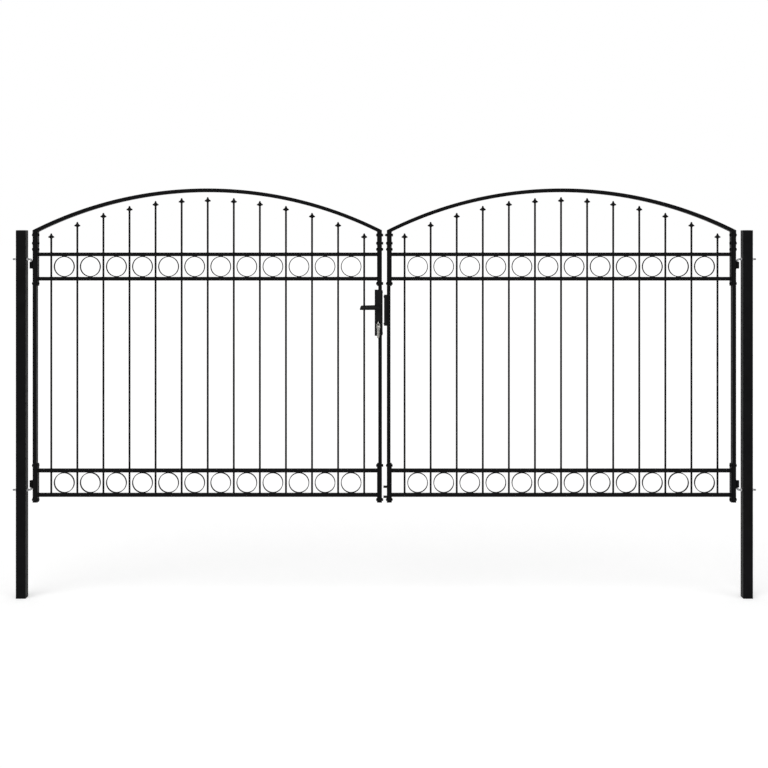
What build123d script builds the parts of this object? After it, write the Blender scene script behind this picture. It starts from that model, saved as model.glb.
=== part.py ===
from build123d import *
from math import sqrt
import os

# A double steel gate: two arched leaves of round pickets hung between two square posts.
# Millimetres, +Z up, +X along the gate, -Y towards the viewer.
# The origin is the centre of the left post's foot.

# Posts: square tubes with a flush cap
post_spacing = 2960
post_side = 40
post_wall = 1.5
post_inner_corner = 0.5
cap_thickness = 3
cap_plug_length = 14
cap_plug_clearance = 0.3

# Leaves: the gap between them, their height over the post's foot and their arch
meeting_gap = 20
leaf_lift = 390
leaf_side_height = 1110
arch_rise = 170
arch_side = 15
arch_wall = 1.2
seat_clearance = 0.3

# Stiles: upright rectangular tubes
stile_width = 15
stile_depth = 30
stile_wall = 1.2
stile_inner_corner = 0.5

# Pickets: round rods through punched rails, with a forged spear tip on each
picket_diameter = 8
picket_hole_clearance = 0.25
picket_end_space = 40
tip_width = 25
tip_height = 21.5
tip_thickness = 9
tip_gap_middle = 20
tip_gap_end = 31

# Bands: a pair of rails with rings between the pickets
rail_edge = 3.25
rail_wall = 1
ring_diameter = 84
ring_wall = 3
ring_depth = 10
ring_side_gap = 7.25
ring_seat_clearance = 0.25
upper_band_drop = 70

# End plates that bolt the rails and the arch to the stiles
plate_thickness = 5
plate_depth = 26
plate_overlap = 29
plate_gap = 0.5

# Hinges: threaded hooks through the posts, and bushes on the stiles
hook_diameter = 8
hook_inner_bend = 4
hook_straight = 5.5
hook_tail = 17.5
hook_rise = 10.5
hook_hole_clearance = 0.3
pin_clearance = 0.2
pin_inset = 3
nut_thickness = 5.5
nut_rim = 2.5
bush_wall = 3.8
bush_length = 28
web_flare = 9
web_flare_reach = 3.5
lower_bush_rise = 60
upper_bush_drop = 129

# Lock let into the left leaf's meeting stile
case_width = 29.5
case_depth = 38
case_height = 187
case_corner = 2
case_drop = 16
faceplate_thickness = 3
faceplate_depth = 22
faceplate_margin = 2
bolt_clearance = 0.25
bolt_depth = 12
latch_height = 22
deadbolt_height = 34
deadbolt_drop = 46
cylinder_drop = 60.5
cylinder_diameter = 17
cylinder_skirt_width = 10
cylinder_skirt = 24.5
cylinder_proud = 3

# Lever handle on both sides of one spindle
spindle_drop = 72.5
spindle_diameter = 8
spindle_clearance = 0.4
spindle_socket = 14
lever_running_gap = 1
lever_neck_diameter = 17
lever_neck_length = 26
lever_length = 76.5
lever_height = 14.5
lever_thickness = 10

# Keys: one in the lock and two hanging from its ring
key_thickness = 2.2
key_bow_diameter = 15
key_neck = 5
key_hole_diameter = 6.5
key_hole_rim = 2
key_blade_width = 9
key_blade_length = 37
key_spread = 1.6
key_turn_angle = 40
key_ring_radius = 6
key_ring_wire = 1.6
key_ring_clearance = 0.3
key_hang_clearance = 1.55

# Keep and drop-bolt lugs on the right leaf's meeting stile
lock_running_gap = 5.5
keep_back_wall = 2
keep_side_wall = 5
keep_top_margin = 39
keep_bottom_margin = 9
keep_entry = 2
lug_thickness = 6
lug_depth = 20
lug_rise = 21
lug_spacing = 41
lug_running_gap = 6
lug_rim = 2.5

# One overrun serves every cut
overrun = 10

# Hand-chosen outlines, as shares of the sizes they follow
web_share = 0.7
tip_throat_shares = (0.41, 0.12)
tip_heel_shares = (0.90, 0.16)
tip_barb_shares = (1, 0.28)
tip_shoulder_shares = (0.91, 0.40)
tip_flare_shares = (0.19, 0.60)
tip_crown_shares = (-0.06, 0.86)
lever_tip_top_shares = (0.88, 0.65)
lever_tip_bend_shares = (0.97, 0.05)

# Places that follow from the sizes
gate_middle = post_spacing / 2
middle_plane = Plane.YZ.offset(gate_middle)
bush_bore = hook_diameter + 2 * pin_clearance
bush_diameter = bush_bore + 2 * bush_wall
hook_bend = hook_diameter / 2 + hook_inner_bend
post_face = post_side / 2
hinge_x = post_face + nut_thickness + hook_straight + hook_bend
leaf_start = hinge_x + bush_diameter / 2
leaf_end = gate_middle - meeting_gap / 2
leaf_width = leaf_end - leaf_start
leaf_middle = (leaf_start + leaf_end) / 2
hinge_stile_x = leaf_start + stile_width / 2
meeting_stile_x = leaf_end - stile_width / 2
spring_height = leaf_lift + leaf_side_height

arch_outer_radius = ((leaf_width / 2) ** 2 + arch_rise**2) / (2 * arch_rise)
arch_inner_radius = arch_outer_radius - arch_side
arch_centre_height = spring_height + arch_rise - arch_outer_radius

picket_hole = picket_diameter + 2 * picket_hole_clearance
rail_side = picket_hole + 2 * rail_edge
rail_spacing = ring_diameter + 2 * ring_seat_clearance + rail_side
plate_height = rail_spacing + 2 * plate_overlap
upper_band = spring_height - upper_band_drop - plate_height / 2
lower_band = leaf_lift + plate_height / 2
arch_plate_foot = upper_band + plate_height / 2 + plate_gap
rail_start = leaf_start + stile_width + plate_thickness
rail_end = leaf_end - stile_width - plate_thickness
rail_drop = rail_spacing / 2

picket_pitch = ring_diameter + 2 * ring_side_gap + picket_diameter
picket_room = leaf_width - 2 * stile_width - 2 * picket_end_space
picket_gaps = int(picket_room // picket_pitch)
picket_run = picket_gaps * picket_pitch
picket_places = [leaf_middle - picket_run / 2 + i * picket_pitch for i in range(picket_gaps + 1)]
ring_places = [place + picket_pitch / 2 for place in picket_places[:-1]]
picket_foot = lower_band - rail_drop + rail_side / 2

lower_bush_foot = leaf_lift + lower_bush_rise
upper_bush_foot = spring_height - upper_bush_drop - bush_length
lower_hook = lower_bush_foot - hook_rise
upper_hook = upper_bush_foot + bush_length + hook_rise

case_top = upper_band - plate_height / 2 - case_drop
case_foot = case_top - case_height
case_x = leaf_end - case_width / 2
spindle_height = case_top - spindle_drop
cylinder_height = spindle_height - cylinder_drop
deadbolt_z = spindle_height - deadbolt_drop


def write(name, pieces):
    """Writes the pieces of one node."""
    solids = [solid for piece in pieces for solid in piece.solids()]
    export_step(Compound(solids), f"parts/{name}.step")


def write_side(side, name, pieces):
    """Writes a node of the left half as it is, or mirrored for the right half."""
    if side == "right":
        pieces = [piece.mirror(middle_plane) for piece in pieces]
    write(f"{side}_{name}", pieces)


def block(x_range, y_range, z_range):
    """A box between two places on each axis."""
    sizes = [high - low for low, high in (x_range, y_range, z_range)]
    middles = [(high + low) / 2 for low, high in (x_range, y_range, z_range)]
    return Pos(*middles) * Box(*sizes)


def upright_block(x_range, depth, z_range):
    """A box that is centred front to back."""
    return block(x_range, (-depth / 2, depth / 2), z_range)


def tube_section(width, depth, wall, inner_corner):
    """A rectangular tube's section with round corners."""
    outside = RectangleRounded(width, depth, inner_corner + wall)
    inside = RectangleRounded(width - 2 * wall, depth - 2 * wall, inner_corner)
    return outside - inside


def upright_rod(x, diameter, z_range):
    """A round rod that stands at a place along the gate."""
    foot, top = z_range
    return Pos(x, 0, foot) * extrude(Circle(diameter / 2), top - foot)


def crosswise_rod(x, z, diameter, y_range):
    """A round rod that runs front to back."""
    front, back = y_range
    return Plane.XZ * Pos(x, z, -back) * extrude(Circle(diameter / 2), back - front)


# Posts


def post():
    """The left post, drilled for its two hooks."""
    height = spring_height - cap_thickness
    tube = extrude(tube_section(post_side, post_side, post_wall, post_inner_corner), height)
    for z in (lower_hook, upper_hook):
        drill = Cylinder(hook_diameter / 2 + hook_hole_clearance, post_side + 2 * overrun)
        tube -= Pos(0, 0, z) * Rot(0, 90, 0) * drill
    return tube


def post_cap():
    """A flush cap with a plug in the post's mouth."""
    seat = spring_height - cap_thickness
    plate = extrude(RectangleRounded(post_side, post_side, post_inner_corner + post_wall), cap_thickness)
    plug_side = post_side - 2 * post_wall - 2 * cap_plug_clearance
    plug = extrude(RectangleRounded(plug_side, plug_side, post_inner_corner), -cap_plug_length)
    return Pos(0, 0, seat) * (plate + plug)


# Hinges


def hook(shank_height, pin_end):
    """A threaded shank through the post, bent up or down into a pin."""
    tail = -post_face - hook_tail
    path = FilletPolyline(
        (tail, 0, shank_height), (hinge_x, 0, shank_height), (hinge_x, 0, pin_end), radius=hook_bend
    )
    section = Plane(origin=path @ 0, z_dir=path % 0) * Circle(hook_diameter / 2)
    return sweep(section, path=path)


def hooks():
    """The upper hook points down and the lower one up, so the leaf can't lift off."""
    upper = hook(upper_hook, upper_bush_foot + pin_inset)
    lower = hook(lower_hook, lower_bush_foot + bush_length - pin_inset)
    return [upper, lower]


def hook_nuts():
    """A hexagon nut on each face of the post at each hook."""
    bore = hook_diameter / 2 + hook_hole_clearance
    flat_radius = hook_diameter / 2 + nut_rim
    section = RegularPolygon(flat_radius, 6, major_radius=False) - Circle(bore)
    nut = extrude(section, nut_thickness)
    nuts = []
    for z in (upper_hook, lower_hook):
        for start in (-post_face - nut_thickness, post_face):
            nuts.append(Plane(origin=(start, 0, z), x_dir=(0, 0, 1), z_dir=(1, 0, 0)) * nut)
    return nuts


def flared_web(foot, top):
    """The stile end of a bush's web, which grows taller than the bush."""
    start = leaf_start - web_flare_reach
    outline = Polyline(
        (start, foot), (leaf_start, foot - web_flare), (leaf_start, top + web_flare), (start, top), close=True
    )
    return extrude(Plane.XZ * make_face(outline), web_share * bush_diameter / 2, both=True)


def bushes():
    """Bushes with a web to the stile, each bored for its hook's pin."""
    pieces = []
    for foot in (upper_bush_foot, lower_bush_foot):
        span = (foot, foot + bush_length)
        body = upright_rod(hinge_x, bush_diameter, span)
        body += upright_block((hinge_x, leaf_start), web_share * bush_diameter, span)
        body += flared_web(*span)
        pieces.append(body - upright_rod(hinge_x, bush_bore, (foot - overrun, foot + bush_length + overrun)))
    return pieces


# Leaf frame


def arch_underside(x):
    """Height of the arch's lower face at a place along the leaf."""
    return arch_centre_height + sqrt(arch_inner_radius**2 - (x - leaf_middle) ** 2)


def under_arch(radius):
    """Everything inside a circle about the arch's centre."""
    disc = Pos(leaf_middle, arch_centre_height) * Circle(radius)
    return extrude(Plane.XZ * disc, post_side, both=True)


def arch_band(outer_radius, inner_radius, depth, x_range):
    """A curved bar between two radii, cut plumb at its ends."""
    start, end = x_range
    centre = Pos(leaf_middle, arch_centre_height)
    ring = centre * Circle(outer_radius) - centre * Circle(inner_radius)
    top = spring_height + arch_rise + overrun
    window = Rectangle(end - start, top - arch_centre_height)
    window = Pos((start + end) / 2, (top + arch_centre_height) / 2) * window
    return extrude(Plane.XZ * (ring & window), depth / 2, both=True)


def arch():
    """A tube as deep as the stiles, bent to a circular arc over the whole leaf."""
    bar = arch_band(arch_outer_radius, arch_inner_radius, stile_depth, (leaf_start, leaf_end))
    hollow = arch_band(
        arch_outer_radius - arch_wall,
        arch_inner_radius + arch_wall,
        stile_depth - 2 * arch_wall,
        (leaf_start - overrun, leaf_end + overrun),
    )
    return bar - hollow


def stile(x):
    """An upright tube whose head is cut to the arch's underside."""
    section = tube_section(stile_width, stile_depth, stile_wall, stile_inner_corner)
    tube = Pos(x, 0, leaf_lift) * extrude(section, leaf_side_height)
    return tube & under_arch(arch_inner_radius - seat_clearance)


def lock_stile():
    """The left meeting stile, cut where the lock case is let in."""
    gap = upright_block(
        (meeting_stile_x - stile_width, meeting_stile_x + stile_width), case_depth, (case_foot, case_top)
    )
    return stile(meeting_stile_x) - gap


def end_plates(z_range):
    """Flat plates against the inner faces of both stiles."""
    hinge_side = (leaf_start + stile_width, rail_start)
    meeting_side = (rail_end, leaf_end - stile_width)
    return [upright_block(span, plate_depth, z_range) for span in (hinge_side, meeting_side)]


def band_plates(band):
    """The end plates of one band of rails."""
    return end_plates((band - plate_height / 2, band + plate_height / 2))


def arch_plates():
    """The end plates under the arch, cut to its underside."""
    limit = under_arch(arch_inner_radius - seat_clearance)
    return [plate & limit for plate in end_plates((arch_plate_foot, spring_height))]


# Infill


def rail(z, punched):
    """A square tube between the end plates, punched where pickets pass through."""
    section = tube_section(rail_side, rail_side, rail_wall, rail_wall)
    tube = extrude(Plane(origin=(rail_start, 0, z), z_dir=(1, 0, 0)) * section, rail_end - rail_start)
    if punched:
        reach = rail_side / 2 + overrun
        tube -= [upright_rod(x, picket_hole, (z - reach, z + reach)) for x in picket_places]
    return tube


def rings(band):
    """Rings that fill the band between neighbouring pickets."""
    section = Circle(ring_diameter / 2) - Circle(ring_diameter / 2 - ring_wall)
    ring = extrude(Plane.XZ * section, ring_depth / 2, both=True)
    return [Pos(x, 0, band) * ring for x in ring_places]


def picket_head(x):
    """Height of the picket's head, where its tip is set on."""
    reach = (x - leaf_middle) / (picket_run / 2)
    gap = tip_gap_middle + (tip_gap_end - tip_gap_middle) * reach**2
    return arch_underside(x) - gap - tip_height


def pickets():
    """Rods that stand on the lowest rail and follow the arch above."""
    return [upright_rod(x, picket_diameter, (picket_foot, picket_head(x))) for x in picket_places]


def spear_tip():
    """A flat barbed tip with a blunt crown, its foot as wide as the picket."""
    foot = picket_diameter / 2
    edges = [Line((-foot, 0), (foot, 0))]

    def at(shares, side):
        across, up = shares
        return (side * (foot + across * (tip_width / 2 - foot)), up * tip_height)

    for side in (1, -1):
        heel = at(tip_heel_shares, side)
        shoulder = at(tip_shoulder_shares, side)
        crown = at(tip_crown_shares, side)
        edges.append(ThreePointArc((side * foot, 0), at(tip_throat_shares, side), heel))
        edges.append(ThreePointArc(heel, at(tip_barb_shares, side), shoulder))
        edges.append(ThreePointArc(shoulder, at(tip_flare_shares, side), crown))
    edges.append(ThreePointArc(at(tip_crown_shares, 1), (0, tip_height), at(tip_crown_shares, -1)))
    return extrude(Plane.XZ * make_face(edges), tip_thickness / 2, both=True)


def spear_tips():
    """A tip on the head of every picket."""
    tip = spear_tip()
    return [Pos(x, 0, picket_head(x)) * tip for x in picket_places]


# Lock


def lock_case():
    """A closed box welded between the two lengths of the meeting stile."""
    section = RectangleRounded(case_width, case_depth, case_corner)
    box = Pos(case_x, 0, case_foot) * extrude(section, case_height)
    reach = case_depth / 2 + overrun
    return box - crosswise_rod(case_x, spindle_height, spindle_diameter + 2 * spindle_clearance, (-reach, reach))


def bolt_fronts(margin):
    """The fronts of the latch and the deadbolt, grown by a margin all round."""
    fronts = []
    for z, height in ((spindle_height, latch_height), (deadbolt_z, deadbolt_height)):
        reach = height / 2 + margin
        span = (leaf_end, leaf_end + faceplate_thickness)
        fronts.append(upright_block(span, bolt_depth + 2 * margin, (z - reach, z + reach)))
    return fronts


def faceplate():
    """A plate on the lock's free edge, with openings for the latch and the deadbolt."""
    span = (case_foot + faceplate_margin, case_top - faceplate_margin)
    plate = upright_block((leaf_end, leaf_end + faceplate_thickness), faceplate_depth, span)
    return plate - bolt_fronts(bolt_clearance)


def lock_cylinders():
    """The round-headed ends of the key cylinder, on both sides of the case."""
    skirt = Rectangle(cylinder_skirt_width, cylinder_skirt)
    face = Circle(cylinder_diameter / 2) + Pos(0, -cylinder_skirt / 2) * skirt
    end = extrude(Plane.XZ * Pos(case_x, cylinder_height) * face, cylinder_proud)
    front = Pos(0, -case_depth / 2, 0) * end
    return [front, front.mirror(Plane.XZ)]


# Lever handle


def lever():
    """A handle on a round neck, level below and sloping down to its tip above."""
    neck_start = case_depth / 2 + lever_running_gap
    neck_end = neck_start + lever_neck_length
    half = lever_height / 2
    tip = -lever_length
    top, bend = [
        (along * tip, up * half) for along, up in (lever_tip_top_shares, lever_tip_bend_shares)
    ]
    outline = [
        Line((0, half), top),
        ThreePointArc(top, bend, (tip, -half)),
        Line((tip, -half), (0, -half)),
        ThreePointArc((0, -half), (half, 0), (0, half)),
    ]
    arm = extrude(Plane.XZ * Pos(0, 0, neck_end) * make_face(outline), lever_thickness)
    arm = Pos(case_x, 0, spindle_height) * arm
    neck = crosswise_rod(case_x, spindle_height, lever_neck_diameter, (-neck_end, -neck_start))
    socket_diameter = spindle_diameter + 2 * spindle_clearance
    socket = crosswise_rod(
        case_x, spindle_height, socket_diameter, (-neck_start - spindle_socket, -neck_start + overrun)
    )
    return arm + neck - socket


def spindle():
    """A rod through the case into both handles."""
    reach = case_depth / 2 + lever_running_gap + spindle_socket
    return crosswise_rod(case_x, spindle_height, spindle_diameter, (-reach, reach))


# Keys


def key(stem_length):
    """A flat key in the YZ plane, its bow's centre at the origin and its stem up."""
    bow_radius = key_bow_diameter / 2
    hole_drop = bow_radius - key_hole_rim - key_hole_diameter / 2
    stem = Pos(0, (bow_radius + stem_length) / 2) * Rectangle(key_blade_width, bow_radius + stem_length)
    outline = Circle(bow_radius) + stem - Pos(0, -hole_drop) * Circle(key_hole_diameter / 2)
    return extrude(Plane.YZ * outline, key_thickness / 2, both=True)


def keys():
    """A key in the front cylinder, a ring through its bow and two keys hanging from the ring."""
    bow_radius = key_bow_diameter / 2
    hole_drop = bow_radius - key_hole_rim - key_hole_diameter / 2
    lock_front = -case_depth / 2 - cylinder_proud
    bow_y = lock_front - key_neck - bow_radius
    lock_key = Pos(case_x, bow_y, cylinder_height) * Rot(-90, 0, 0) * key(key_neck)
    play = key_hole_diameter / 2 - key_ring_wire / 2
    hole_y = bow_y - hole_drop
    ring_centre = cylinder_height - (play - key_ring_clearance) - key_ring_radius
    ring = Pos(case_x, hole_y, ring_centre) * Rot(90, 0, 0) * Torus(key_ring_radius, key_ring_wire / 2)
    pieces = [lock_key, ring]
    for side in (1, -1):
        drop = sqrt(key_ring_radius**2 - key_spread**2)
        hole_z = ring_centre - drop - (play - key_hang_clearance)
        hung = Rot(0, 0, key_turn_angle) * Rot(180, 0, 0) * key(key_blade_length)
        pieces.append(Pos(case_x + side * key_spread, hole_y, hole_z - hole_drop) * hung)
    return pieces


# Right meeting stile's fittings


def keep():
    """A strike box on the right meeting stile, with pockets for the latch and the deadbolt."""
    start = leaf_end + faceplate_thickness + lock_running_gap
    end = leaf_end + meeting_gap
    top = spindle_height + latch_height / 2 + keep_entry + keep_top_margin
    foot = deadbolt_z - deadbolt_height / 2 - keep_entry - keep_bottom_margin
    depth = bolt_depth + 2 * keep_entry + 2 * keep_side_wall
    box = upright_block((start, end), depth, (foot, top))
    for z, height in ((spindle_height, latch_height), (deadbolt_z, deadbolt_height)):
        reach = height / 2 + keep_entry
        pocket = (start - overrun, end - keep_back_wall)
        box -= upright_block(pocket, bolt_depth + 2 * keep_entry, (z - reach, z + reach))
    return box


def drop_bolt_lugs():
    """Two lugs in line, bored to guide a drop bolt."""
    start = leaf_end + lug_running_gap
    end = leaf_end + meeting_gap
    reach = end - start
    pieces = []
    for rise in (lug_rise, lug_rise + lug_spacing):
        z = leaf_lift + rise
        span = (z - lug_thickness / 2, z + lug_thickness / 2)
        bore = upright_rod((start + end) / 2, reach - 2 * lug_rim, (span[0] - overrun, span[1] + overrun))
        pieces.append(upright_block((start, end), lug_depth, span) - bore)
    return pieces


os.makedirs("parts", exist_ok=True)
for side in ("left", "right"):
    write_side(side, "post", [post()])
    write_side(side, "post_cap", [post_cap()])
    write_side(side, "hinge_hooks", hooks())
    write_side(side, "hinge_nuts", hook_nuts())
    write_side(side, "hinge_bushes", bushes())
    write_side(side, "hinge_stile", [stile(hinge_stile_x)])
    write_side(side, "meeting_stile", [lock_stile() if side == "left" else stile(meeting_stile_x)])
    write_side(side, "arch", [arch()])
    write_side(side, "arch_end_plates", arch_plates())
    write_side(side, "upper_end_plates", band_plates(upper_band))
    write_side(side, "lower_end_plates", band_plates(lower_band))
    write_side(side, "upper_rails", [rail(upper_band + rail_drop, True), rail(upper_band - rail_drop, True)])
    write_side(side, "lower_rails", [rail(lower_band + rail_drop, True), rail(lower_band - rail_drop, False)])
    write_side(side, "upper_rings", rings(upper_band))
    write_side(side, "lower_rings", rings(lower_band))
    write_side(side, "pickets", pickets())
    write_side(side, "spear_tips", spear_tips())
write("lock_case", [lock_case()])
write("lock_faceplate", [faceplate()])
write("lock_bolts", bolt_fronts(0))
write("lock_cylinder", lock_cylinders())
write("keys", keys())
write("front_lever", [lever()])
write("back_lever", [lever().mirror(Plane.XZ)])
write("lever_spindle", [spindle()])
write("keep", [keep()])
write("drop_bolt_lugs", drop_bolt_lugs())
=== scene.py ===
from math import acos, atan2, cos, hypot, pi, radians, sin, sqrt, tan

import bmesh
import bpy
from mathutils import Matrix, Vector


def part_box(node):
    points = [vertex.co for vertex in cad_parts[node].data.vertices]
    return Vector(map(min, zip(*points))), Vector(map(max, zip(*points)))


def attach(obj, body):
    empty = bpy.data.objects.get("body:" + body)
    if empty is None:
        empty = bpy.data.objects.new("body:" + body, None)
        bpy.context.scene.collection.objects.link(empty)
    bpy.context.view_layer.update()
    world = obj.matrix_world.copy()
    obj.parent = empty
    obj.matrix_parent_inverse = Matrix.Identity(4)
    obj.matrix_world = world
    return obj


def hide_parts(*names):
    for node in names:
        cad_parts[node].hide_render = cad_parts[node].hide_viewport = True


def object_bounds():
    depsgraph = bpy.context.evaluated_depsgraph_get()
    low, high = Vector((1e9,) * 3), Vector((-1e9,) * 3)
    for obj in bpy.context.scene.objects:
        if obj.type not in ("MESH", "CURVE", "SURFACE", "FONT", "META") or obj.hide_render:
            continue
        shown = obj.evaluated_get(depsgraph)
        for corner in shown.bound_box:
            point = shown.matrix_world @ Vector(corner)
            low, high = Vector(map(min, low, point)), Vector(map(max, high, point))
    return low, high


# A double steel gate in black powder coat, with zinc hinge hooks and a lever lock.
# Metres, +Z up, +X along the gate, -Y towards the viewer.

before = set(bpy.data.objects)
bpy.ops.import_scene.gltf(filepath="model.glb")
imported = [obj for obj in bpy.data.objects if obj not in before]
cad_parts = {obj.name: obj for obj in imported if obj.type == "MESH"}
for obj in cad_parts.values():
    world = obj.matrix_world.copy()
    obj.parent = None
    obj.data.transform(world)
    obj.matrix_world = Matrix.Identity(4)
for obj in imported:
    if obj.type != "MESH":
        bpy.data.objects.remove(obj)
cad_low, cad_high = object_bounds()
sides = ("left", "right")

# Camera: square to the gate, just below the tops of its posts
camera_distance = 5.024
camera_height = 1.480
camera_lens = 57.66
camera_shift_x = -0.0005
camera_shift_y = -0.194

# Light and floor
ambient_strength = 0.55
white_strength = 1.0
sun_angle = radians(50)
floor_half = 150.0
floor_grey = 0.85
floor_glow = 0.3

# Materials: the stretch of the noise that carries their changes
noise_span = (0.3, 0.7)

# Fineness of the meshes
circle_points = 24
hexagon_points = 36
rod_points = 20
neck_points = 32
key_points = 28
key_ring_points = 40
weld_points = 10
corner_steps = 5
arc_steps = 8
dome_steps = 5
thread_steps = 6
bend_steps = 12
arch_steps = 96
tip_crown_steps = 7
arm_end_steps = 6
arm_steps = 5
arm_tip_steps = 12
cylinder_head_steps = 32
cylinder_foot_steps = 16
weld_steps = 4
sharp_angle = radians(32)
join_digits = 6
order_digits = 4
least_share = 1e-6

# Bolts through the stiles and their end plates
bolt_flats = 0.010
bolt_head = 0.0045
bolt_nut = 0.0026
bolt_thread = 0.006
bolt_end = 0.0006
bolt_end_share = 1 / 3
long_bolt_nut = 0.004
long_bolt_end = 0.0035
washer_radius = 0.006
washer_thickness = 0.0008
washer_edge = 0.0002
hexagon_face_share = 0.97
hexagon_chamfer = radians(30)
button_radius = 0.0055
button_height = 0.003
socket_flats = 0.0035
socket_share = 0.5
band_bolt_foot_edge = 0.0095
band_bolt_top_edge = 0.0085
arch_bolt_foot_edge = 0.016
arch_bolt_top_edge = 0.013

# Hinge hooks and their nuts
hook_bend = 0.008
hook_pitch = 0.00125
hook_thread_depth = 0.0006
hook_end_chamfer = 0.001
nut_bore_clearance = 0.0002

# Post caps, tubes and their plugs
cap_corner = 0.002
cap_edge = 0.0012
cap_edge_middle = 0.0004
cap_crown = 0.0006
cap_crown_share = 0.25
cap_plug_inset = 0.003
cap_plug_taper = 0.0015
cap_plug_lead = 0.003
tube_corner = 0.0017
tube_wall = 0.0012
plug_clearance = 0.0001
plug_recess = 0.0003
plug_edge = 0.0006
plug_depth = 0.008

# Spear tips: half widths and heights as shares of the tip's own sizes
tip_foot_radius = 0.004
tip_throat_shares = (0.41, 0.12)
tip_heel_shares = (0.90, 0.16)
tip_barb_shares = (1, 0.28)
tip_shoulder_shares = (0.91, 0.40)
tip_flare_shares = (0.19, 0.60)
tip_crown_shares = (-0.06, 0.86)
tip_neck_share = 0.75

# Handles
arm_height = 0.0145
arm_thickness = 0.010
arm_edge = 0.0042
arm_edge_share = 0.45
arm_tip_top_shares = (0.91, 0.72)
arm_tip_bend_shares = (0.955, 0.25)
arm_tip_end_shares = (0.98, -0.55)
neck_radius = 0.0075
collar_radius = 0.0105
collar_length = 0.005
collar_edge = 0.001

# Keys on a ring
key_bow_radius = 0.0075
key_thickness = 0.0022
key_edge = 0.0003
key_hole_radius = 0.00325
key_hole_rim = 0.002
key_neck = 0.005
key_blade_start = 0.006
key_blade_width = 0.009
key_blade_length = 0.037
key_shoulder = 0.006
key_notch = 0.0022
key_ridge = 0.00055
key_point = 0.0044
key_notches = 6
key_turn_angle = radians(40)
key_spread = 0.0016
key_ring_radius = 0.006
key_ring_wire = 0.0008
key_ring_clearance = 0.0003
key_hang_clearance = 0.00155

# Lock cylinder and screws
cylinder_skirt_width = 0.010
cylinder_edge = 0.0006
barrel_radius = 0.0064
barrel_groove = 0.0004
keyway_width = 0.0024
keyway_height = 0.0084
keyway_depth = 0.002
screw_inset = 0.008
face_screw_radius = 0.0040
face_screw_height = 0.001
keep_screw_radius = 0.0045
keep_screw_height = 0.002

# Welds
weld_radius = 0.0016
weld_ripple = 0.00025
weld_ripples = 5
weld_end_share = 0.98
ring_weld_radius = 0.0011
ring_weld_length = 0.017
rail_weld_length = 0.012
weld_sink = 0.0011
bush_web_share = 0.7
bush_weld_share = 0.9
picket_weld_reach = 0.0022
picket_weld_height = 0.0026
picket_weld_shares = (0, 0.3, 0.6, 1)


# Frame readings


def solids_of(node):
    """The lowest and highest corners of each solid in a CAD node, from left to right and upwards."""
    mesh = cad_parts[node].data
    spots = [tuple(round(value, join_digits) for value in vertex.co) for vertex in mesh.vertices]
    parent = {spot: spot for spot in spots}

    def root(spot):
        while parent[spot] != spot:
            parent[spot] = parent[parent[spot]]
            spot = parent[spot]
        return spot

    for face in mesh.polygons:
        first = root(spots[face.vertices[0]])
        for index in face.vertices[1:]:
            parent[root(spots[index])] = first
    groups = {}
    for spot in parent:
        groups.setdefault(root(spot), []).append(spot)
    boxes = [(Vector(map(min, zip(*group))), Vector(map(max, zip(*group)))) for group in groups.values()]
    return sorted(boxes, key=lambda box: (round(box[0].x, order_digits), box[0].z))


# Mesh helpers


def loft(bm, rings, looped=False):
    """Skins rings of equal count one after another, and closes the ends or joins them."""
    loops = [[bm.verts.new(point) for point in ring] for ring in rings]
    pairs = list(zip(loops, loops[1:]))
    if looped:
        pairs.append((loops[-1], loops[0]))
    else:
        bm.faces.new(loops[0])
        bm.faces.new(loops[-1])
    for one, other in pairs:
        for i in range(len(one)):
            j = (i + 1) % len(one)
            bm.faces.new((one[i], one[j], other[j], other[i]))


def angles_round(count):
    """Angles that divide a full turn evenly."""
    return [2 * pi * i / count for i in range(count)]


def size_at(size, angle):
    """A size that is a number, or a function of the angle."""
    return size(angle) if callable(size) else size


def circle(place, radius, height, count=circle_points):
    """A ring of points about a place's own Z axis. The radius and the height may depend on the angle."""
    points = []
    for angle in angles_round(count):
        reach = size_at(radius, angle)
        points.append(place @ Vector((reach * cos(angle), reach * sin(angle), size_at(height, angle))))
    return points


def facing(point, direction):
    """A place at a point whose Z axis looks along a direction."""
    turn = Vector(direction).to_track_quat("Z", "Y")
    return Matrix.Translation(point) @ turn.to_matrix().to_4x4()


def rounded_rectangle(width, depth, corner):
    """Points of a rectangle with round corners, about the origin."""
    points = []
    for quarter in range(4):
        middle = radians(90 * quarter + 45)
        centre_x = (width / 2 - corner) * (1 if cos(middle) > 0 else -1)
        centre_y = (depth / 2 - corner) * (1 if sin(middle) > 0 else -1)
        for i in range(corner_steps + 1):
            angle = radians(90) * (quarter + i / corner_steps)
            points.append((centre_x + corner * cos(angle), centre_y + corner * sin(angle)))
    return points


def arc_through(start, middle, end, steps=arc_steps):
    """Points along the circle through three points, the last one left out."""
    start, middle, end = Vector(start), Vector(middle), Vector(end)
    near, far = middle - start, end - start
    double = 2 * (near.x * far.y - near.y * far.x)
    across = near.length_squared * far.y - far.length_squared * near.y
    up = far.length_squared * near.x - near.length_squared * far.x
    centre = start + Vector((across, up)) / double
    spoke = start - centre
    turn = spoke.angle_signed(middle - centre) + (middle - centre).angle_signed(end - centre)
    return [centre + Matrix.Rotation(-turn * i / steps, 2) @ spoke for i in range(steps)]


def add_piece(name, bm, material, body, stands_for=()):
    """Makes an object of a mesh, rides it on its body and hides the CAD nodes that it stands for."""
    bmesh.ops.recalc_face_normals(bm, faces=bm.faces)
    mesh = bpy.data.meshes.new(name)
    bm.to_mesh(mesh)
    bm.free()
    mesh.shade_smooth()
    mesh.set_sharp_from_angle(angle=sharp_angle)
    mesh.materials.append(material)
    piece = bpy.data.objects.new(name, mesh)
    bpy.context.scene.collection.objects.link(piece)
    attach(piece, body)
    if stands_for:
        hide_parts(*stands_for)


# Materials


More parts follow.
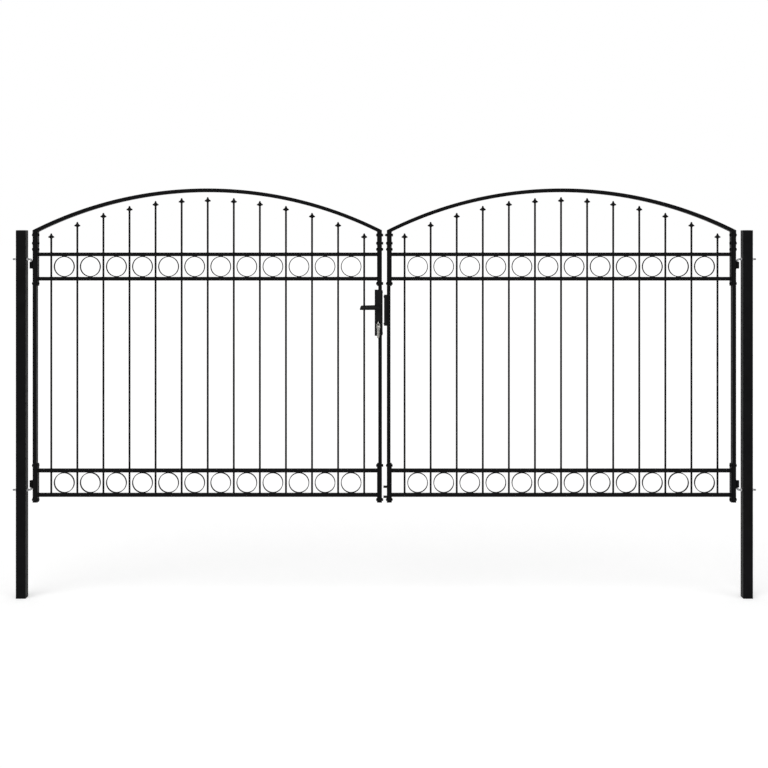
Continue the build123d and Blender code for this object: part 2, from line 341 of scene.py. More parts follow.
def add_node(tree, kind, **values):
    """A shader node with some of its inputs set."""
    node = tree.nodes.new(kind)
    for name, value in values.items():
        node.inputs[name].default_value = value
    return node


def noise(tree, scale, detail=3.0, stretch=(1, 1, 1)):
    """Noise that follows the object's own coordinates."""
    coordinates = tree.nodes.new("ShaderNodeTexCoord")
    mapping = add_node(tree, "ShaderNodeMapping", Scale=stretch)
    texture = add_node(tree, "ShaderNodeTexNoise", Scale=scale, Detail=detail)
    tree.links.new(coordinates.outputs["Object"], mapping.inputs["Vector"])
    tree.links.new(mapping.outputs["Vector"], texture.inputs["Vector"])
    return texture.outputs["Fac"]


def vary_colour(tree, shader, factor, dark, light):
    """The base colour goes between two colours with a factor."""
    ramp = tree.nodes.new("ShaderNodeValToRGB")
    for stop, position, colour in zip(ramp.color_ramp.elements, noise_span, (dark, light)):
        stop.position = position
        stop.color = (*colour, 1)
    tree.links.new(factor, ramp.inputs["Fac"])
    tree.links.new(ramp.outputs["Color"], shader.inputs["Base Color"])


def vary_roughness(tree, shader, factor, low, high):
    """The roughness goes between two values with a factor."""
    span = tree.nodes.new("ShaderNodeMapRange")
    span.inputs["From Min"].default_value = noise_span[0]
    span.inputs["From Max"].default_value = noise_span[1]
    span.inputs["To Min"].default_value = low
    span.inputs["To Max"].default_value = high
    tree.links.new(factor, span.inputs["Value"])
    tree.links.new(span.outputs["Result"], shader.inputs["Roughness"])


def add_bump(tree, shader, height, strength, distance):
    """Fine relief on the surface."""
    bump = add_node(tree, "ShaderNodeBump", Strength=strength, Distance=distance)
    tree.links.new(height, bump.inputs["Height"])
    tree.links.new(bump.outputs["Normal"], shader.inputs["Normal"])


def new_material(name):
    """A material with its tree and its shader."""
    material = bpy.data.materials.new(name)
    material.use_nodes = True
    tree = material.node_tree
    return material, tree, tree.nodes["Principled BSDF"]


def powder_coat(name, dark, light):
    """Powder coat: faint mottling and the fine ripple of a baked coat."""
    material, tree, shader = new_material(name)
    shader.inputs["Specular IOR Level"].default_value = 0.06
    vary_colour(tree, shader, noise(tree, scale=26), dark, light)
    vary_roughness(tree, shader, noise(tree, scale=60), low=0.46, high=0.58)
    add_bump(tree, shader, noise(tree, scale=900, detail=2.0), strength=0.25, distance=0.0002)
    return material


def zinc_plate(name, dark, light):
    """Zinc plating: soft grey clouds over a slightly rough metal."""
    material, tree, shader = new_material(name)
    shader.inputs["Metallic"].default_value = 1.0
    vary_colour(tree, shader, noise(tree, scale=220, detail=4.0), dark, light)
    vary_roughness(tree, shader, noise(tree, scale=500), low=0.34, high=0.52)
    add_bump(tree, shader, noise(tree, scale=1600, detail=2.0), strength=0.2, distance=0.0001)
    return material


def nickel_plate():
    """Nickel plating with the fine lines of its polish."""
    material, tree, shader = new_material("polished_nickel")
    shader.inputs["Metallic"].default_value = 1.0
    lines = noise(tree, scale=900, stretch=(1, 1, 0.06))
    vary_colour(tree, shader, noise(tree, scale=160), dark=(0.50, 0.49, 0.46), light=(0.64, 0.63, 0.60))
    vary_roughness(tree, shader, lines, low=0.18, high=0.34)
    add_bump(tree, shader, lines, strength=0.12, distance=0.0001)
    return material


def moulded_plastic():
    """Matte black plastic with a fine moulded grain."""
    material, tree, shader = new_material("moulded_black_plastic")
    shader.inputs["Specular IOR Level"].default_value = 0.2
    mottle = noise(tree, scale=90)
    vary_colour(tree, shader, mottle, dark=(0.0055, 0.0055, 0.0060), light=(0.0085, 0.0085, 0.0090))
    vary_roughness(tree, shader, noise(tree, scale=140), low=0.50, high=0.64)
    add_bump(tree, shader, noise(tree, scale=2200, detail=1.0), strength=0.35, distance=0.0002)
    return material


def handle_lacquer():
    """Satin black lacquer over a cast handle."""
    material, tree, shader = new_material("satin_black_lacquer")
    shader.inputs["Specular IOR Level"].default_value = 0.10
    mottle = noise(tree, scale=70)
    vary_colour(tree, shader, mottle, dark=(0.0030, 0.0030, 0.0033), light=(0.0054, 0.0054, 0.0058))
    vary_roughness(tree, shader, noise(tree, scale=110), low=0.36, high=0.48)
    add_bump(tree, shader, noise(tree, scale=1100, detail=2.0), strength=0.15, distance=0.0002)
    return material


black_coat = powder_coat("black_powder_coat", dark=(0.0020, 0.0019, 0.0022), light=(0.0040, 0.0039, 0.0044))
lock_coat = powder_coat("lock_powder_coat", dark=(0.0068, 0.0066, 0.0069), light=(0.0092, 0.0090, 0.0093))
bright_zinc = zinc_plate("bright_zinc", dark=(0.52, 0.52, 0.53), light=(0.66, 0.66, 0.67))
dull_zinc = zinc_plate("dull_zinc", dark=(0.32, 0.32, 0.33), light=(0.46, 0.46, 0.47))
polished_nickel = nickel_plate()
black_plastic = moulded_plastic()
black_lacquer = handle_lacquer()


# Threaded fasteners


def hexagon(flats):
    """The reach of a hexagon as a function of the angle."""
    return lambda angle: flats / 2 / cos((angle + pi / 6) % (pi / 3) - pi / 6)


def hexagon_rings(place, flats, height):
    """Rings of a hexagon whose corners are chamfered at both faces."""
    reach = hexagon(flats)
    face = hexagon_face_share * flats / 2

    def drop(angle):
        return (reach(angle) - face) * tan(hexagon_chamfer)

    profile = ((face, 0), (reach, drop), (reach, lambda angle: height - drop(angle)), (face, height))
    return [circle(place, radius, level, hexagon_points) for radius, level in profile]


def hexagon_head(bm, place, flats, height):
    """A solid hexagon head."""
    loft(bm, hexagon_rings(place, flats, height))


def hexagon_nut(bm, place, flats, height, bore):
    """A hexagon nut with its bore."""
    mouths = [circle(place, bore, level, hexagon_points) for level in (0, height)]
    loft(bm, [mouths[0], *hexagon_rings(place, flats, height), mouths[1]], looped=True)


def washer(bm, place):
    """A flat washer with broken edges."""
    profile = (
        (washer_radius - washer_edge, 0),
        (washer_radius, washer_edge),
        (washer_radius, washer_thickness - washer_edge),
        (washer_radius - washer_edge, washer_thickness),
    )
    loft(bm, [circle(place, radius, height) for radius, height in profile])


def button_head(bm, place, radius, height):
    """A low domed head with a hexagon socket."""
    slopes = [radians(90) * i / dome_steps for i in range(dome_steps)]
    rings = [circle(place, radius * cos(slope), height * sin(slope)) for slope in slopes]
    socket = hexagon(socket_flats)
    rings.append(circle(place, socket, height))
    rings.append(circle(place, socket, (1 - socket_share) * height))
    loft(bm, rings)


def threaded_end(bm, place, radius, height):
    """The blunt end of a thread that stands out of its nut."""
    edge = bolt_end_share * min(height, radius)
    profile = ((radius, 0), (radius, height - edge), (radius - edge, height))
    loft(bm, [circle(place, reach, rise) for reach, rise in profile])


def hex_bolt_head(bm, point, direction):
    """A washer with a hexagon head on it."""
    washer(bm, facing(point, direction))
    hexagon_head(bm, facing(point + washer_thickness * direction, direction), bolt_flats, bolt_head)


def hex_bolt_nut(bm, point, direction, nut=bolt_nut, end=bolt_end):
    """A washer, a nut and the end of the bolt's thread."""
    washer(bm, facing(point, direction))
    seat = point + washer_thickness * direction
    hexagon_head(bm, facing(seat, direction), bolt_flats, nut)
    threaded_end(bm, facing(seat + nut * direction, direction), bolt_thread / 2, end)


def low_bolt_head(bm, point, direction):
    """A washer with a low domed head on it."""
    washer(bm, facing(point, direction))
    button_head(bm, facing(point + washer_thickness * direction, direction), button_radius, button_height)


def frame_bolt(bm, outside, inside, outward, low_head, turned):
    """A bolt through a stile and its end plate, with its nut inside, or outside if it is turned."""
    if turned:
        hex_bolt_nut(bm, outside, outward, long_bolt_nut, long_bolt_end)
        hex_bolt_head(bm, inside, -outward)
        return
    if low_head:
        low_bolt_head(bm, outside, outward)
    else:
        hex_bolt_head(bm, outside, outward)
    hex_bolt_nut(bm, inside, -outward)


def plate_bolts(bm, side, node, foot_edge, top_edge):
    """Bolts near both ends of each end plate, with low heads on the right meeting stile."""
    stile_low, stile_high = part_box(f"{side}_hinge_stile")
    stile_width = stile_high.x - stile_low.x
    leaf_middle = sum(corner.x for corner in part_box(f"{side}_arch")) / 2
    for low, high in solids_of(f"{side}_{node}"):
        if low.x > leaf_middle:
            outward, inner_face, outer_face = Vector((1, 0, 0)), low.x, high.x + stile_width
        else:
            outward, inner_face, outer_face = Vector((-1, 0, 0)), high.x, low.x - stile_width
        low_head = side == "right" and outward.x < 0
        for z in (low.z + foot_edge, high.z - top_edge):
            # Only the top bolt of the right meeting stile is turned
            turned = low_head and node == "arch_end_plates" and z > (low.z + high.z) / 2
            outside, inside = Vector((outer_face, 0, z)), Vector((inner_face, 0, z))
            frame_bolt(bm, outside, inside, outward, low_head, turned)


def add_bolts(side):
    """The bolts of one leaf."""
    bm = bmesh.new()
    for node in ("upper_end_plates", "lower_end_plates"):
        plate_bolts(bm, side, node, band_bolt_foot_edge, band_bolt_top_edge)
    plate_bolts(bm, side, "arch_end_plates", arch_bolt_foot_edge, arch_bolt_top_edge)
    add_piece(f"{side}_frame_bolts", bm, black_coat, f"{side}_leaf")


# Hinge hooks


def bent_ring(point, normal, radius):
    """A ring across a rod that lies in the gate's own plane. The radius may depend on the angle."""
    ring = []
    for angle in angles_round(rod_points):
        spoke = cos(angle) * normal + sin(angle) * Vector((0, 1, 0))
        ring.append(point + size_at(radius, angle) * spoke)
    return ring


def thread_radius(radius, along):
    """A screw thread's reach at a distance along its rod, as a function of the angle."""

    def reach(angle):
        turn = (along / hook_pitch - angle / (2 * pi)) % 1
        return radius - hook_thread_depth * abs(2 * turn - 1)

    return reach


def hook_rod(bm, side, low, high, upwards):
    """A threaded shank that bends into a plain pin."""
    radius = (high.y - low.y) / 2
    along = Vector((1 if side == "left" else -1, 0, 0))
    rise = Vector((0, 0, 1 if upwards else -1))
    shank_z = (low.z if upwards else high.z) + radius * rise.z
    tail_x, pin_x = (low.x, high.x - radius) if side == "left" else (high.x, low.x + radius)
    tail = Vector((tail_x, 0, shank_z))
    shank_length = abs(pin_x - tail_x) - hook_bend
    pin_length = high.z - low.z - radius - hook_bend
    rings = [bent_ring(tail, rise, radius - hook_end_chamfer)]
    steps = round(thread_steps * shank_length / hook_pitch)
    for i in range(steps + 1):
        reach = hook_end_chamfer + (shank_length - hook_end_chamfer) * i / steps
        rings.append(bent_ring(tail + reach * along, rise, thread_radius(radius, reach)))
    centre = tail + shank_length * along + hook_bend * rise
    for i in range(1, bend_steps + 1):
        angle = radians(90) * i / bend_steps
        outward = sin(angle) * along - cos(angle) * rise
        rings.append(bent_ring(centre + hook_bend * outward, -outward, radius))
    corner = centre + hook_bend * along
    rings.append(bent_ring(corner + (pin_length - hook_end_chamfer) * rise, -along, radius))
    rings.append(bent_ring(corner + pin_length * rise, -along, radius - hook_end_chamfer))
    loft(bm, rings)


def add_hooks(side):
    """Both hooks of one post."""
    bm = bmesh.new()
    for index, (low, high) in enumerate(solids_of(f"{side}_hinge_hooks")):
        hook_rod(bm, side, low, high, upwards=index == 0)
    add_piece(f"{side}_threaded_hooks", bm, dull_zinc, "posts", [f"{side}_hinge_hooks"])


def add_hook_nuts(side):
    """Chamfered nuts on both faces of one post."""
    bm = bmesh.new()
    hook_low, hook_high = solids_of(f"{side}_hinge_hooks")[0]
    bore = (hook_high.y - hook_low.y) / 2 + nut_bore_clearance
    for low, high in solids_of(f"{side}_hinge_nuts"):
        middle = (low + high) / 2
        place = facing((low.x, middle.y, middle.z), (1, 0, 0))
        flats = min(high.y - low.y, high.z - low.z)
        hexagon_nut(bm, place, flats, high.x - low.x, bore)
    add_piece(f"{side}_hook_nuts", bm, bright_zinc, "posts", [f"{side}_hinge_nuts"])


# Caps and plugs


def flat_ring(points, place, height, inset):
    """An outline about the origin, drawn in by an inset and set at a height of a place."""
    ring = []
    for x, y in points:
        drawn = Vector((x - inset * (1 if x > 0 else -1), y - inset * (1 if y > 0 else -1), height))
        ring.append(place @ drawn)
    return ring


def add_cap(side):
    """A moulded cap with an eased, slightly crowned top and a plug in the post's mouth."""
    low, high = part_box(f"{side}_post_cap")
    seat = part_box(f"{side}_post")[1].z
    middle = (low + high) / 2
    place = Matrix.Translation((middle.x, middle.y, 0))
    width = high.x - low.x
    shoulder = high.z - cap_crown
    head = rounded_rectangle(width, width, cap_corner)
    head_levels = (
        (seat, 0),
        (shoulder - cap_edge, 0),
        (shoulder - cap_edge_middle, cap_edge_middle),
        (shoulder, cap_edge),
        (high.z, cap_crown_share * width),
    )
    plug_width = width - 2 * cap_plug_inset
    plug = rounded_rectangle(plug_width, plug_width, cap_corner)
    plug_levels = ((low.z, cap_plug_taper), (low.z + cap_plug_lead, 0), (seat, 0))
    bm = bmesh.new()
    for outline, levels in ((head, head_levels), (plug, plug_levels)):
        loft(bm, [flat_ring(outline, place, height, inset) for height, inset in levels])
    add_piece(f"{side}_moulded_cap", bm, black_plastic, "posts", [f"{side}_post_cap"])


def add_plugs(side):
    """Moulded plugs in the feet of both stiles."""
    bm = bmesh.new()
    for stile in ("hinge_stile", "meeting_stile"):
        low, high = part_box(f"{side}_{stile}")
        middle = (low + high) / 2
        shrink = 2 * (tube_wall + plug_clearance)
        width, depth = high.x - low.x - shrink, high.y - low.y - shrink
        outline = rounded_rectangle(width, depth, tube_corner - tube_wall)
        place = Matrix.Translation((middle.x, middle.y, low.z + plug_recess))
        levels = ((0, plug_edge), (plug_edge, 0), (plug_depth, 0))
        loft(bm, [flat_ring(outline, place, height, inset) for height, inset in levels])
    add_piece(f"{side}_stile_plugs", bm, black_plastic, f"{side}_leaf")


# Arches


def arch_circle(side):
    """The arch's middle along the gate, the height of its centre, and its outer and inner radii."""
    low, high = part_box(f"{side}_arch")
    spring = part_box(f"{side}_post_cap")[1].z
    half = (high.x - low.x) / 2
    rise = high.z - spring
    outer = (half**2 + rise**2) / (2 * rise)
    centre_z = high.z - outer
    return (low.x + high.x) / 2, centre_z, outer, hypot(half, low.z - centre_z)


def add_arch(side):
    """A tube with round corners, bent to the arch and closed by a plug a little inside each end."""
    low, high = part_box(f"{side}_arch")
    middle, centre_z, outer, inner = arch_circle(side)
    width, depth = outer - inner, high.y - low.y
    skin = rounded_rectangle(width, depth, tube_corner)
    mouth = rounded_rectangle(width - 2 * tube_wall, depth - 2 * tube_wall, tube_corner - tube_wall)

    def cut(x, section):
        """The tube's section where it is cut plumb."""
        radius = (outer + inner) / 2
        lean = (x - middle) ** 2
        return [(x, y, centre_z + sqrt((radius + across) ** 2 - lean)) for across, y in section]

    bm = bmesh.new()
    rings = [cut(low.x + plug_recess, mouth), cut(low.x, mouth)]
    rings += [cut(low.x + (high.x - low.x) * i / arch_steps, skin) for i in range(arch_steps + 1)]
    rings += [cut(high.x, mouth), cut(high.x - plug_recess, mouth)]
    loft(bm, rings)
    add_piece(f"{side}_arch_tube", bm, black_coat, f"{side}_leaf", [f"{side}_arch"])


# Spear tips


def tip_profile(half_width, height):
    """Half widths and heights of a barbed tip from its foot to its crown."""

    def at(shares):
        across, up = shares
        return (tip_foot_radius + across * (half_width - tip_foot_radius), up * height)

    heel, shoulder, crown = at(tip_heel_shares), at(tip_shoulder_shares), at(tip_crown_shares)
    mirrored = (-crown[0], crown[1])
    points = arc_through((tip_foot_radius, 0), at(tip_throat_shares), heel)
    points += arc_through(heel, at(tip_barb_shares), shoulder)
    points += arc_through(shoulder, at(tip_flare_shares), crown)
    return points + arc_through(crown, (0, height), mirrored, 2 * tip_crown_steps)[:tip_crown_steps]


def tip_rings(low, high):
    """Oval rings up a forged tip, round at its foot and its crown."""
    middle = (low + high) / 2
    half_width, half_depth = (high.x - low.x) / 2, (high.y - low.y) / 2
    height = high.z - low.z
    barb = tip_barb_shares[1]
    angles = angles_round(rod_points)
    rings = []
    for reach, rise in tip_profile(half_width, height):
        share = rise / height
        if share > barb:
            depth = half_depth * (1 - (1 - tip_neck_share) * (share - barb) / (1 - barb))
        else:
            depth = tip_foot_radius + (half_depth - tip_foot_radius) * share / barb
        centre = Vector((middle.x, middle.y, low.z + rise))
        across, deep = Vector((reach, 0, 0)), Vector((0, min(depth, reach), 0))
        rings.append([centre + cos(angle) * across + sin(angle) * deep for angle in angles])
    return rings


def add_tips(side):
    """Forged tips on the pickets of one leaf."""
    bm = bmesh.new()
    for low, high in solids_of(f"{side}_spear_tips"):
        loft(bm, tip_rings(low, high))
    stands_for = [f"{side}_spear_tips"]
    add_piece(f"{side}_forged_tips", bm, black_coat, f"{side}_leaf", stands_for)


# Handles


def arm_stations(length):
    """Places along a handle's arm, with its lower and upper edges there, from the hub to the tip."""
    half = arm_height / 2
    stations = []
    for i in range(1, arm_end_steps + 1):
        angle = radians(90) * i / arm_end_steps
        stations.append((half * cos(angle), -half * sin(angle), half * sin(angle)))
    tip_shares = (arm_tip_top_shares, arm_tip_bend_shares, arm_tip_end_shares)
    top, bend, end = [(-along * length, up * half) for along, up in tip_shares]
    for i in range(1, arm_steps):
        lean = i / arm_steps
        stations.append((top[0] * lean, -half, half + (top[1] - half) * lean))
    toe = end[1] + half
    for x, z in arc_through(top, bend, end, arm_tip_steps):
        past = max(0, end[0] + toe - x)
        stations.append((x, end[1] - sqrt(toe**2 - past**2), z))
    return stations


def add_handle(which):
    """A cast handle with round edges on a turned neck."""
    low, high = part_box(f"{which}_lever")
    hub_radius = (high.z - low.z) / 2
    hub = Vector((high.x - hub_radius, 0, (low.z + high.z) / 2))
    outward = -1 if which == "front" else 1
    start, end = sorted((low.y, high.y), key=abs)
    arm_y = end - outward * arm_thickness / 2
    rings = []
    for x, foot, top in arm_stations(hub.x - low.x):
        edge = min(arm_edge, arm_edge_share * (top - foot))
        section = rounded_rectangle(top - foot, arm_thickness, edge)
        rings.append([(hub.x + x, arm_y + y, hub.z + (foot + top) / 2 + z) for z, y in section])
    bm = bmesh.new()
    loft(bm, rings)
    profile = (
        (collar_radius - collar_edge, 0),
        (collar_radius, collar_edge),
        (collar_radius, collar_length - collar_edge),
        (collar_radius - collar_edge, collar_length),
        (neck_radius + collar_edge, collar_length),
        (neck_radius, collar_length + collar_edge),
        (neck_radius, abs(arm_y - start)),
    )
    place = facing((hub.x, start, hub.z), (0, outward, 0))
    loft(bm, [circle(place, radius, height, neck_points) for radius, height in profile])
    add_piece(f"{which}_handle", bm, black_lacquer, "lever", [f"{which}_lever"])


# Keys and cylinder


def key_bow(bm, place, hole_drop):
    """A round bow with a hole for the ring, in the place's XY plane."""
    hole = place @ Matrix.Translation((0, -hole_drop, 0))
    half = key_thickness / 2
    profile = (
        (place, key_bow_radius - key_edge, -half),
        (place, key_bow_radius, -half + key_edge),
        (place, key_bow_radius, half - key_edge),
        (place, key_bow_radius - key_edge, half),
        (hole, key_hole_radius, half),
        (hole, key_hole_radius, -half),
    )
    loft(bm, [circle(spot, radius, height, key_points) for spot, radius, height in profile], looped=True)


def key_blade(bm, place, end, notched):
    """A key's stem, cut into notches along one edge if it is in the open."""
    half, level = key_blade_width / 2, key_thickness / 2 - key_edge
    stations = [(key_blade_start, 0), (end, 0)]
    if notched:
        first = key_bow_radius + key_shoulder
        pitch = (end - first) / (2 * key_notches)
        stations = [(key_blade_start, 0), (first - pitch / 2, 0)]
        for i in range(2 * key_notches):
            stations.append((first + i * pitch, key_notch if i % 2 else key_ridge))
        stations.append((end, key_point))
    rings = []
    for along, cut in stations:
        corners = ((-half, -level), (half - cut, -level), (half - cut, level), (-half, level))
        rings.append([place @ Vector((across, along, height)) for across, height in corners])
    loft(bm, rings)


def key_ring(bm, centre):
    """A wire ring in the gate's own plane."""
    spokes = [Vector((cos(angle), 0, sin(angle))) for angle in angles_round(key_ring_points)]
    rings = [bent_ring(centre + key_ring_radius * spoke, spoke, key_ring_wire) for spoke in spokes]
    loft(bm, rings, looped=True)


def add_keys():
    """A key in the front cylinder, a ring through its bow and two keys hanging from the ring."""
    low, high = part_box("lock_cylinder")
    x = (low.x + high.x) / 2
    axis_z = high.z - (high.x - low.x) / 2
    hole_drop = key_bow_radius - key_hole_rim - key_hole_radius
    play = key_hole_radius - key_ring_wire
    bow_y = low.y - key_neck - key_bow_radius
    hole_y = bow_y - hole_drop
    ring_z = axis_z - (play - key_ring_clearance) - key_ring_radius
    # Stands a key up across the gate, with its blade's tip at the top
    upright = Matrix(((0, 0, 1, 0), (1, 0, 0, 0), (0, 1, 0, 0), (0, 0, 0, 1)))
    bm = bmesh.new()
    lock_key = Matrix.Translation((x, bow_y, axis_z)) @ Matrix.Rotation(radians(-90), 4, "X") @ upright
    key_bow(bm, lock_key, hole_drop)
    key_blade(bm, lock_key, key_bow_radius + key_neck + keyway_depth / 2, notched=False)
    key_ring(bm, Vector((x, hole_y, ring_z)))
    bow_z = ring_z - sqrt(key_ring_radius**2 - key_spread**2) - (play - key_hang_clearance) - hole_drop
    turn = Matrix.Rotation(key_turn_angle, 4, "Z") @ Matrix.Rotation(radians(180), 4, "X")
    for side in (1, -1):
        hung = Matrix.Translation((x + side * key_spread, hole_y, bow_z)) @ turn @ upright
        key_bow(bm, hung, hole_drop)
        key_blade(bm, hung, key_bow_radius + key_blade_length, notched=True)
    add_piece("key_bunch", bm, polished_nickel, "left_leaf", ["keys"])


def cylinder_outline(radius, drop):
    """A round head over a narrower skirt with a round foot, about the head's centre."""
    half = cylinder_skirt_width / 2
    corner = acos(half / radius)
    points = []
    for i in range(cylinder_head_steps + 1):
        angle = -corner + (pi + 2 * corner) * i / cylinder_head_steps
        points.append((radius * cos(angle), radius * sin(angle)))
    for i in range(cylinder_foot_steps + 1):
        angle = pi + pi * i / cylinder_foot_steps
        points.append((half * cos(angle), half * sin(angle) - (drop - half)))
    return points


def keyway_reach(angle):
    """The reach of the keyway's slot at an angle."""
    across = keyway_width / 2 / max(abs(cos(angle)), least_share)
    up = keyway_height / 2 / max(abs(sin(angle)), least_share)
    return min(across, up)


def add_cylinder():
    """Both ends of the key cylinder, each with its barrel and its keyway."""
    low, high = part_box("lock_cylinder")
    case_low, case_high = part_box("lock_case")
    radius = (high.x - low.x) / 2
    centre = Vector(((low.x + high.x) / 2, 0, high.z - radius))
    outline = cylinder_outline(radius, high.z - low.z - radius)
    angles = [atan2(z, x) for x, z in outline]
    ease = 1 - cylinder_edge / radius
    eased = [(ease * x, ease * z) for x, z in outline]

    def at(points, y):
        return [centre + Vector((x, y, z)) for x, z in points]

    def round_at(reach, y):
        return at([(size_at(reach, a) * cos(a), size_at(reach, a) * sin(a)) for a in angles], y)

    bm = bmesh.new()
    for outward, seat, face in ((-1, case_low.y, low.y), (1, case_high.y, high.y)):
        rings = [
            at(outline, seat),
            at(outline, face - outward * cylinder_edge),
            at(eased, face),
            round_at(barrel_radius + barrel_groove, face),
            round_at(barrel_radius, face - outward * barrel_groove),
            round_at(barrel_radius - barrel_groove, face),
            round_at(keyway_reach, face),
            round_at(keyway_reach, face - outward * keyway_depth),
        ]
        loft(bm, rings)
    add_piece("cylinder_ends", bm, black_coat, "left_leaf", ["lock_cylinder"])


# Lock screws


def add_screws():
    """Screws through the faceplate and through the keep."""
    for node, body, outward, radius, height in (
        ("lock_faceplate", "left_leaf", 1, face_screw_radius, face_screw_height),
        ("keep", "right_leaf", -1, keep_screw_radius, keep_screw_height),
    ):
        low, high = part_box(node)
        bm = bmesh.new()
        face = high.x if outward > 0 else low.x
        for z in (low.z + screw_inset, high.z - screw_inset):
            button_head(bm, facing((face, 0, z), (outward, 0, 0)), radius, height)
        add_piece(f"{node}_screws", bm, black_coat, body)


# Welds


def weld_bead(bm, point, along, length, radius=weld_radius):
    """A rippled bead along a joint, thin at its ends."""
    side = Vector((0, 1, 0))
    other = along.cross(side)
    spokes = [cos(angle) * side + sin(angle) * other for angle in angles_round(weld_points)]
    steps = weld_steps * weld_ripples
    rings = []
    for i in range(steps + 1):
        spot = weld_end_share * (2 * i / steps - 1)
        reach = (radius + weld_ripple * cos(pi * weld_ripples * spot)) * sqrt(1 - spot**4)
        centre = point + along * (spot * length / 2)
        rings.append([centre + reach * spoke for spoke in spokes])
    loft(bm, rings)


def band_welds(bm, side, band):
    """Beads where a band's rings meet its rails, and its rails meet their end plates."""
    level, upright = Vector((1, 0, 0)), Vector((0, 0, 1))
    for low, high in solids_of(f"{side}_{band}_rings"):
        for z in (low.z, high.z):
            for y in (low.y, high.y):
                point = Vector(((low.x + high.x) / 2, y, z))
                weld_bead(bm, point, level, ring_weld_length, ring_weld_radius)
    for low, high in solids_of(f"{side}_{band}_rails"):
        for x in (low.x, high.x):
            for y in (low.y, high.y):
                weld_bead(bm, Vector((x, y, (low.z + high.z) / 2)), upright, rail_weld_length)


def arch_welds(bm, side):
    """Beads along the arch's underside, over the head of each stile and its end plate."""
    middle, centre_z, _, inner = arch_circle(side)
    stile_low, stile_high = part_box(f"{side}_hinge_stile")
    stile_width = stile_high.x - stile_low.x
    for low, high in solids_of(f"{side}_arch_end_plates"):
        start, end = (low.x, high.x + stile_width) if low.x > middle else (low.x - stile_width, high.x)
        x = (start + end) / 2
        lean = (x - middle) / inner
        rise = sqrt(1 - lean**2)
        tangent = Vector((rise, 0, -lean))
        for y in (stile_low.y + weld_sink, stile_high.y - weld_sink):
            weld_bead(bm, Vector((x, y, centre_z + inner * rise)), tangent, (end - start) / rise)


def bush_welds(bm, side):
    """Beads up both flanks of each bush's web, against the stile."""
    for low, high in solids_of(f"{side}_hinge_bushes"):
        x = high.x if side == "left" else low.x
        reach = bush_web_share * (high.y - low.y) / 2
        length = bush_weld_share * (high.z - low.z)
        for y in (-reach, reach):
            weld_bead(bm, Vector((x, y, (low.z + high.z) / 2)), Vector((0, 0, 1)), length)


def rippled(radius, start):
    """A weld's reach round a picket as a function of the angle, with its ripples turned by a start."""
    return lambda angle: radius + weld_ripple * cos(weld_ripples * angle + start)


def picket_welds(bm, side, band):
    """A low fillet round each picket on top of a band's rails."""
    rail_tops = [high.z for _, high in solids_of(f"{side}_{band}_rails")]
    for index, (low, high) in enumerate(solids_of(f"{side}_pickets")):
        middle = (low + high) / 2
        neck = (high.x - low.x) / 2 - weld_ripple
        for rail_top in rail_tops:
            place = Matrix.Translation((middle.x, middle.y, rail_top - weld_ripple))
            rings = []
            for share in picket_weld_shares:
                reach = rippled(neck + picket_weld_reach * (1 - share) ** 2, index)
                rings.append(circle(place, reach, share * picket_weld_height, rod_points))
            loft(bm, rings)


def add_welds(side):
    """Beads where one leaf's rings, pickets, rails, arch and bushes join."""
    bm = bmesh.new()
    for band in ("upper", "lower"):
        band_welds(bm, side, band)
        picket_welds(bm, side, band)
    arch_welds(bm, side)
    bush_welds(bm, side)
    add_piece(f"{side}_welds", bm, black_coat, f"{side}_leaf")


# Stage, light and camera


def ray_switch(tree):
    """One for rays from the camera, from glossy surfaces and through clear ones, zero for the rest."""
    path = tree.nodes.new("ShaderNodeLightPath")
    total = path.outputs["Is Camera Ray"]
    for name in ("Is Glossy Ray", "Is Transmission Ray"):
        either = tree.nodes.new("ShaderNodeMath")
        either.operation = "MAXIMUM"
        tree.links.new(total, either.inputs[0])
        tree.links.new(path.outputs[name], either.inputs[1])
        total = either.outputs["Value"]
    return total


def white_world():
    """Soft even light, seen as white behind the gate."""
    world = bpy.data.worlds.new("studio")
    bpy.context.scene.world = world
    world.use_nodes = True
    tree = world.node_tree
    ambient = tree.nodes["Background"]
    ambient.inputs["Color"].default_value = (1, 1, 1, 1)
    ambient.inputs["Strength"].default_value = ambient_strength
    seen = add_node(tree, "ShaderNodeBackground", Color=(1, 1, 1, 1), Strength=white_strength)
    mix = tree.nodes.new("ShaderNodeMixShader")
    tree.links.new(ray_switch(tree), mix.inputs["Fac"])
    tree.links.new(ambient.outputs["Background"], mix.inputs[1])
    tree.links.new(seen.outputs["Background"], mix.inputs[2])
    tree.links.new(mix.outputs["Shader"], tree.nodes["World Output"].inputs["Surface"])


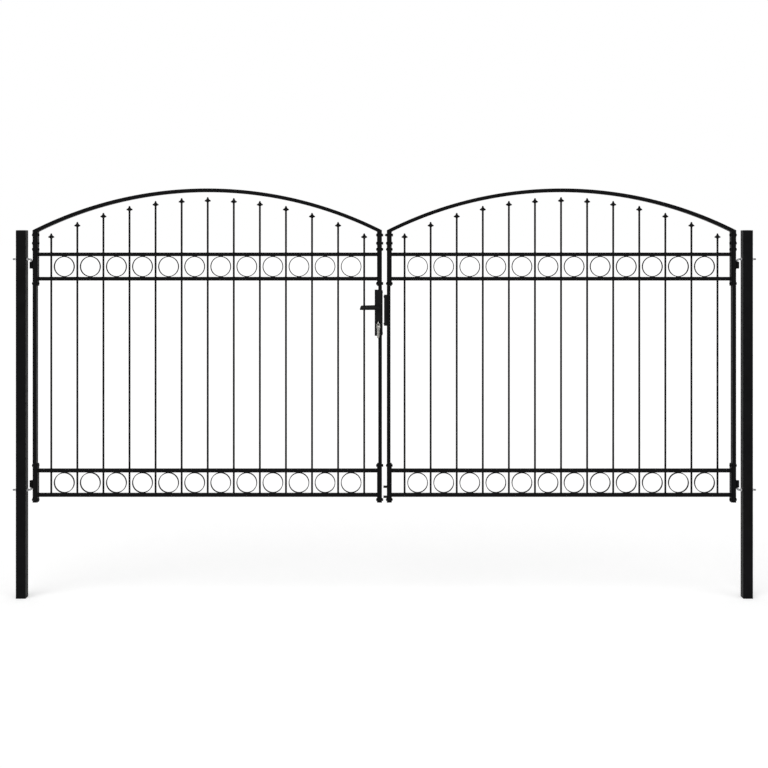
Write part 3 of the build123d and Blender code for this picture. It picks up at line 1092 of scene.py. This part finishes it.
def pale_floor():
    """A wide white floor that keeps the gate's soft shadow."""
    mesh = bpy.data.meshes.new("floor")
    corners = [(floor_half * x, floor_half * y, 0) for x, y in ((-1, -1), (1, -1), (1, 1), (-1, 1))]
    mesh.from_pydata(corners, [], [(0, 1, 2, 3)])
    floor = bpy.data.objects.new("floor", mesh)
    bpy.context.scene.collection.objects.link(floor)
    material = bpy.data.materials.new("white_floor")
    material.use_nodes = True
    tree = material.node_tree
    tree.nodes.remove(tree.nodes["Principled BSDF"])
    paint = add_node(tree, "ShaderNodeBsdfDiffuse", Color=(floor_grey, floor_grey, floor_grey, 1))
    glow = add_node(tree, "ShaderNodeEmission", Color=(floor_glow, floor_glow, floor_glow, 1))
    both = tree.nodes.new("ShaderNodeAddShader")
    tree.links.new(ray_switch(tree), glow.inputs["Strength"])
    tree.links.new(paint.outputs["BSDF"], both.inputs[0])
    tree.links.new(glow.outputs["Emission"], both.inputs[1])
    tree.links.new(both.outputs["Shader"], tree.nodes["Material Output"].inputs["Surface"])
    mesh.materials.append(material)


def add_sun(name, strength, tilt, turn):
    """A broad soft lamp far away."""
    lamp = bpy.data.lights.new(name, "SUN")
    lamp.energy = strength
    lamp.angle = sun_angle
    sun = bpy.data.objects.new(name, lamp)
    sun.rotation_euler = (radians(tilt), 0, radians(turn))
    bpy.context.scene.collection.objects.link(sun)


def add_camera():
    """A camera square to the gate, with its view shifted down to the post feet."""
    lens = bpy.data.cameras.new("camera")
    lens.lens = camera_lens
    lens.shift_x = camera_shift_x
    lens.shift_y = camera_shift_y
    camera = bpy.data.objects.new("camera", lens)
    camera.location = ((cad_low.x + cad_high.x) / 2, -camera_distance, camera_height)
    camera.rotation_euler = (radians(90), 0, 0)
    bpy.context.scene.collection.objects.link(camera)
    bpy.context.scene.camera = camera


# Finishes of the CAD nodes that stay

finishes = {
    "lock_case": lock_coat,
    "lock_faceplate": lock_coat,
    "keep": lock_coat,
    "lock_bolts": bright_zinc,
    "lever_spindle": bright_zinc,
}
for name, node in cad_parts.items():
    node.data.materials.clear()
    node.data.materials.append(finishes.get(name, black_coat))

for side in sides:
    add_bolts(side)
    add_hooks(side)
    add_hook_nuts(side)
    add_cap(side)
    add_plugs(side)
    add_arch(side)
    add_tips(side)
    add_welds(side)
for which in ("front", "back"):
    add_handle(which)
add_keys()
add_cylinder()
add_screws()

white_world()
pale_floor()
add_sun("key", strength=1.1, tilt=48, turn=-28)
add_sun("fill", strength=0.5, tilt=55, turn=40)
add_camera()
bpy.context.scene.view_settings.view_transform = "Standard"
